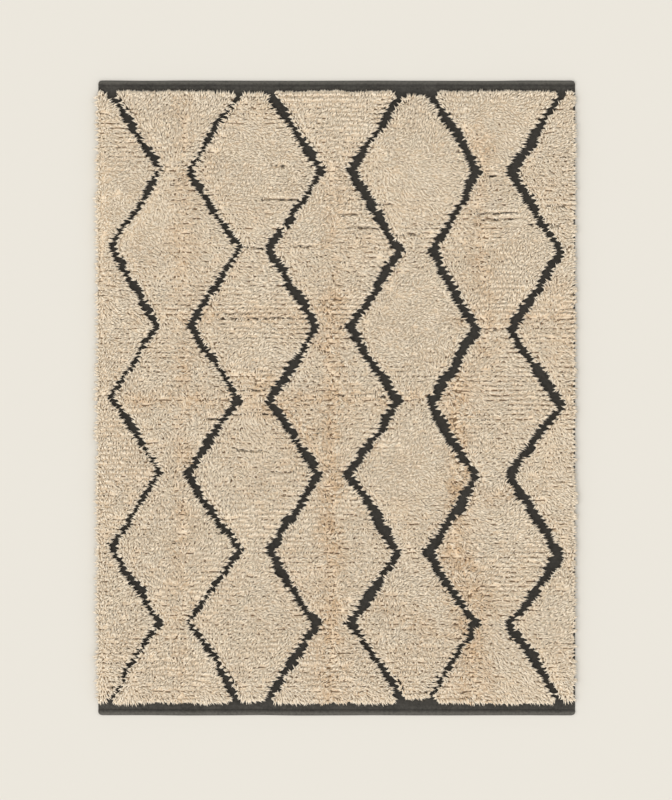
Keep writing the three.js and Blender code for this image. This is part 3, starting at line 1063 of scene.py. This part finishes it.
def aim_locks(x, y, knots, push, rng):
    """Which way each lock faces, and from 0 to 1 how far it lies down. push is the lean across and along."""
    side, last, share, turn = knots
    heading = np.arctan2(push[1], push[0])
    down = np.clip(REST_DOWN + np.hypot(*push) / FULL_PUSH, 0, 1)
    straight_out = np.where(side > 0, -share, math.pi + share) + turn + rng.normal(0, 0.1, len(x))
    heading = np.where(side == 0, heading, straight_out)
    off_end = last * math.pi / 2 + turn + rng.normal(0, 0.2, len(x))
    heading = np.where(last == 0, heading, off_end)
    at_rim = (side != 0) | (last != 0)
    return heading, np.where(at_rim, rng.uniform(0.5, 1.0, len(x)), down)


class RUG_OT_shag_fields(bpy.types.Operator):
    """Knot the seven fields of cream shag on the ground cloth"""

    bl_idname = "rug.shag_fields"
    bl_label = "Shag fields"

    def execute(self, context):
        settings = context.scene.rug_shag
        material = shag_finish(settings)
        fields = [self.field(context, field, settings, material) for field in range(FIELD_COUNT)]
        return {"FINISHED"}

    def field(self, context, field, settings, material):
        """One field of shag, as a mat with all its locks in one object."""
        name = f"shag_{field + 1}"
        locks = self.locks(field, settings, name + "_locks")
        mat = root_mat(field, settings, name)
        strands = bpy.data.objects.new(name + "_locks", locks)
        context.collection.objects.link(strands)
        deselect_all()
        mat.select_set(True)
        strands.select_set(True)
        context.view_layer.objects.active = mat
        bpy.ops.object.join()
        mat.data.materials.append(material)
        mat.data.name = name
        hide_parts(f"pile_{field + 1}")
        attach(mat, "root")
        return mat

    def locks(self, field, settings, name):
        """All locks of a field: knotted, moved out of partings, gaps and creases, leant over and coloured."""
        rng = np.random.default_rng(FIELD_SEED + field)
        x, y, side, last, share, turn, reach = knot_field(field, settings, rng)
        y = stand_clear(y, parting_offsets(x, y), rng.uniform(0.5, 4.5, len(x)) * MM)
        gap, opened = row_gaps(x, y, settings)
        y = stand_clear(y, gap, opened * rng.uniform(0.8, 3.2, len(x)) * MM)
        x, y = np.where(side == 0, parted_by_folds(x, y, rng), (x, y))
        push = lean(field, x, y, settings, rng)
        heading, down = aim_locks(x, y, (side, last, share, turn), push, rng)
        at_rim = (side != 0) | (last != 0)
        between_rows = ridge_share(x, y) * np.clip(np.abs(share) * 5 - 1.2, 0, 1) * ~at_rim
        astray = at_rim & (rng.random(len(x)) < ASTRAY_SHARE)
        shorter = 0.15 * between_rows + 0.25 * opened * np.exp(-np.abs(gap) / (4 * MM)) * ~at_rim
        long = reach * (1.0 - shorter) * np.where(astray, ASTRAY_LENGTH, 1.0)
        thick = np.where(at_rim & ~astray, RIM_THICKNESS, 1.0)
        places = lock_vertices(x, y, heading, down, long, thick, settings, rng)
        own = IVORY["all"] + IVORY["patches"] * soft_noise("yarn", x, y) + IVORY["at rims"] * at_rim
        own += rng.normal(0, IVORY["stray"], len(x))
        own = np.where(astray, 1.0, own)
        # How much tan each lock takes: browner yarn at random, and painted shade in the folds, between rows and
        # beside open gaps
        fold = fold_share(x, y)
        swells = TAN_AND_SHADE["folds"] + TAN_AND_SHADE["folds, swells"] * soft_noise("brown in folds", x, y)
        tan_and_shade = TAN_AND_SHADE["all"] + fold * swells + TAN_AND_SHADE["patches"] * soft_noise("brown patches", x, y)
        tan_and_shade *= 1 - TAN_AND_SHADE["fades at rims"] * at_rim
        tan_and_shade += TAN_AND_SHADE["between rows"] * between_rows + TAN_AND_SHADE["in gaps"] * opened * (np.abs(gap) < 3 * MM)
        tan_and_shade += rng.normal(0, 1, len(x)) * (TAN_AND_SHADE["stray"] + TAN_AND_SHADE["stray in folds"] * fold)
        return locks_mesh(name, places, np.clip(own, 0, 1), np.clip(tan_and_shade, 0, 1))


class RUG_OT_stage(bpy.types.Operator):
    """Set the pale floor, the soft light and the camera"""

    bl_idname = "rug.stage"
    bl_label = "Floor, light and camera"

    def execute(self, context):
        settings = context.scene.rug_stage
        deselect_all()
        bpy.ops.mesh.primitive_plane_add(size=40)
        floor = context.object
        floor.name = "floor"
        finish = Finish("pale_floor")
        finish.surface(settings.floor, 0.9, specular=0.1)
        floor.data.materials.append(finish.material)
        self.lights(context, settings)
        self.camera(context, settings)
        context.scene.view_settings.view_transform = "Standard"
        return {"FINISHED"}

    def lights(self, context, settings):
        world = bpy.data.worlds.new("soft_room")
        world.use_nodes = True
        background = world.node_tree.nodes["Background"]
        background.inputs["Color"].default_value = (1.0, 1.0, 1.0, 1.0)
        background.inputs["Strength"].default_value = settings.room
        context.scene.world = world
        key = self.sun(context, "key_light", settings.key, (20, -22), 60)
        key.data.color = (1.0, 0.985, 0.96)
        self.sun(context, "low_window_light", settings.window, (68, -8), 40)

    def sun(self, context, name, energy, turned, spread):
        """A sun light, with the angles in degrees: how it is turned about x and y, and how wide it looks."""
        rotation = (math.radians(turned[0]), math.radians(turned[1]), 0)
        bpy.ops.object.light_add(type="SUN", rotation=rotation)
        light = context.object
        light.name = name
        light.data.energy = energy
        light.data.angle = math.radians(spread)
        return light

    def camera(self, context, settings):
        bpy.ops.object.camera_add(location=(*VIEW_MIDDLE, settings.distance), rotation=(0, 0, 0))
        camera = context.object
        camera.name = "camera"
        camera.data.sensor_width = SENSOR
        camera.data.lens = SENSOR * settings.distance / settings.view_length
        camera.data.clip_end = 100
        context.scene.camera = camera


class RUG_PT_panel(bpy.types.Panel):
    """The rug's pieces in the sidebar"""

    bl_idname = "RUG_PT_panel"
    bl_label = "Kilim rug"
    bl_space_type = "VIEW_3D"
    bl_region_type = "UI"
    bl_category = "Rug"

    def draw(self, context):
        for operator in OPERATORS:
            self.layout.operator(operator.bl_idname)
        for group in (context.scene.rug_ground, context.scene.rug_shag, context.scene.rug_stage):
            box = self.layout.box()
            for name in group.bl_rna.properties.keys():
                if name not in ("rna_type", "name"):
                    box.prop(group, name)


OPERATORS = (RUG_OT_ground_cloth, RUG_OT_shag_fields, RUG_OT_stage)
CLASSES = (GroundSettings, ShagSettings, StageSettings, *OPERATORS, RUG_PT_panel)


def register():
    for each in CLASSES:
        bpy.utils.register_class(each)
    bpy.types.Scene.rug_ground = bpy.props.PointerProperty(type=GroundSettings)
    bpy.types.Scene.rug_shag = bpy.props.PointerProperty(type=ShagSettings)
    bpy.types.Scene.rug_stage = bpy.props.PointerProperty(type=StageSettings)


def unregister():
    del bpy.types.Scene.rug_stage
    del bpy.types.Scene.rug_shag
    del bpy.types.Scene.rug_ground
    for each in reversed(CLASSES):
        bpy.utils.unregister_class(each)


def main():
    register()
    bpy.ops.rug.ground_cloth()
    bpy.ops.rug.shag_fields()
    bpy.ops.rug.stage()


if __name__ == "__main__":
    main()
